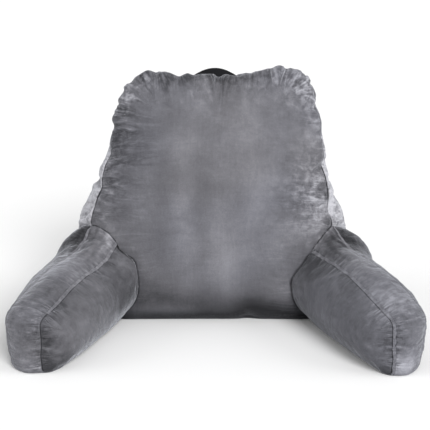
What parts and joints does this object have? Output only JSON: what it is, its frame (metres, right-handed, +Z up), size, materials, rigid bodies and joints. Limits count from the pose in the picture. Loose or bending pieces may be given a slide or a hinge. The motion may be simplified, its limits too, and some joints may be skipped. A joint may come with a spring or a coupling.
{
  "type": "reading pillow with arms",
  "caption": "Bed rest cushion with a high stuffed back, splayed boxed arms at the sides and a webbing carry handle on top.",
  "frame": {"origin": "middle of the bounding box on the surface the pillow stands on", "axes": "+Z up, -Y the way the sitter looks and the arms reach, +X across to the right seen from the front"},
  "size_m": [0.7176, 0.4802, 0.4686],
  "materials": {
    "grey_velour": "short brushed pile with a soft sheen",
    "black_webbing": "ribbed woven strap"
  },
  "bodies": {
    "root": {"backrest": "grey_velour", "arm_left": "grey_velour", "arm_right": "grey_velour", "handle": "black_webbing"}
  },
  "joints": []
}
